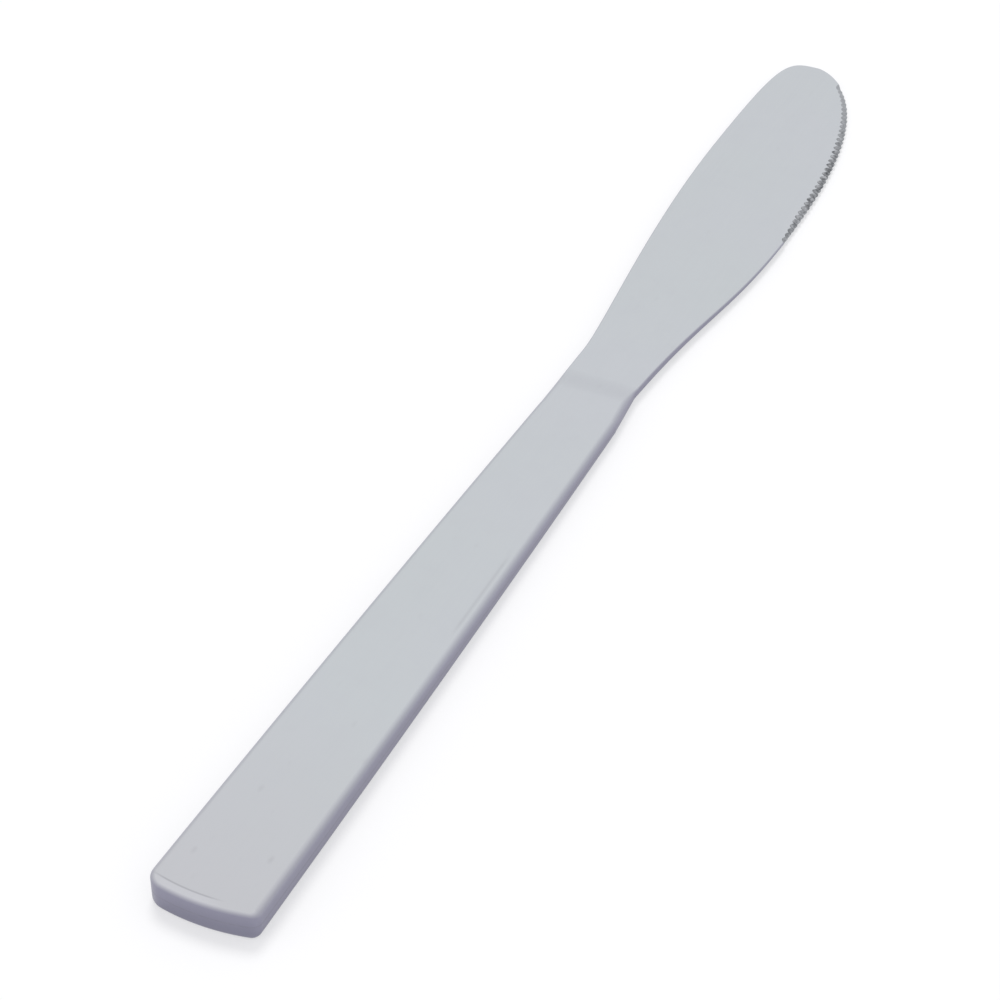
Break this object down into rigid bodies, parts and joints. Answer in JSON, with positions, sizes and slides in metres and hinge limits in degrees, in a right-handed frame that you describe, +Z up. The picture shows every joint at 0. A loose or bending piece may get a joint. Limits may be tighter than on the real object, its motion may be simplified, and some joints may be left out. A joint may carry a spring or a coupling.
{
  "type": "table knife",
  "caption": "Flat-handled steel table knife with a round-tipped blade and a finely serrated cutting edge, its tang cemented into a hollow handle.",
  "frame": {"origin": "the middle of the handle's flat underside, which lies on the table", "axes": "+X along the knife towards the blade's tip, +Y towards the spine, +Z up out of the table"},
  "size_m": [0.22, 0.0213, 0.0042],
  "materials": {
    "blade_steel": "satin",
    "handle_steel": "satin",
    "silver_braze": "satin",
    "cement": "matte"
  },
  "bodies": {
    "root": {"blade": "blade_steel", "upper_handle_shell": "handle_steel", "lower_handle_shell": "handle_steel", "seam_braze": "silver_braze", "handle_cement": "cement"}
  },
  "joints": []
}
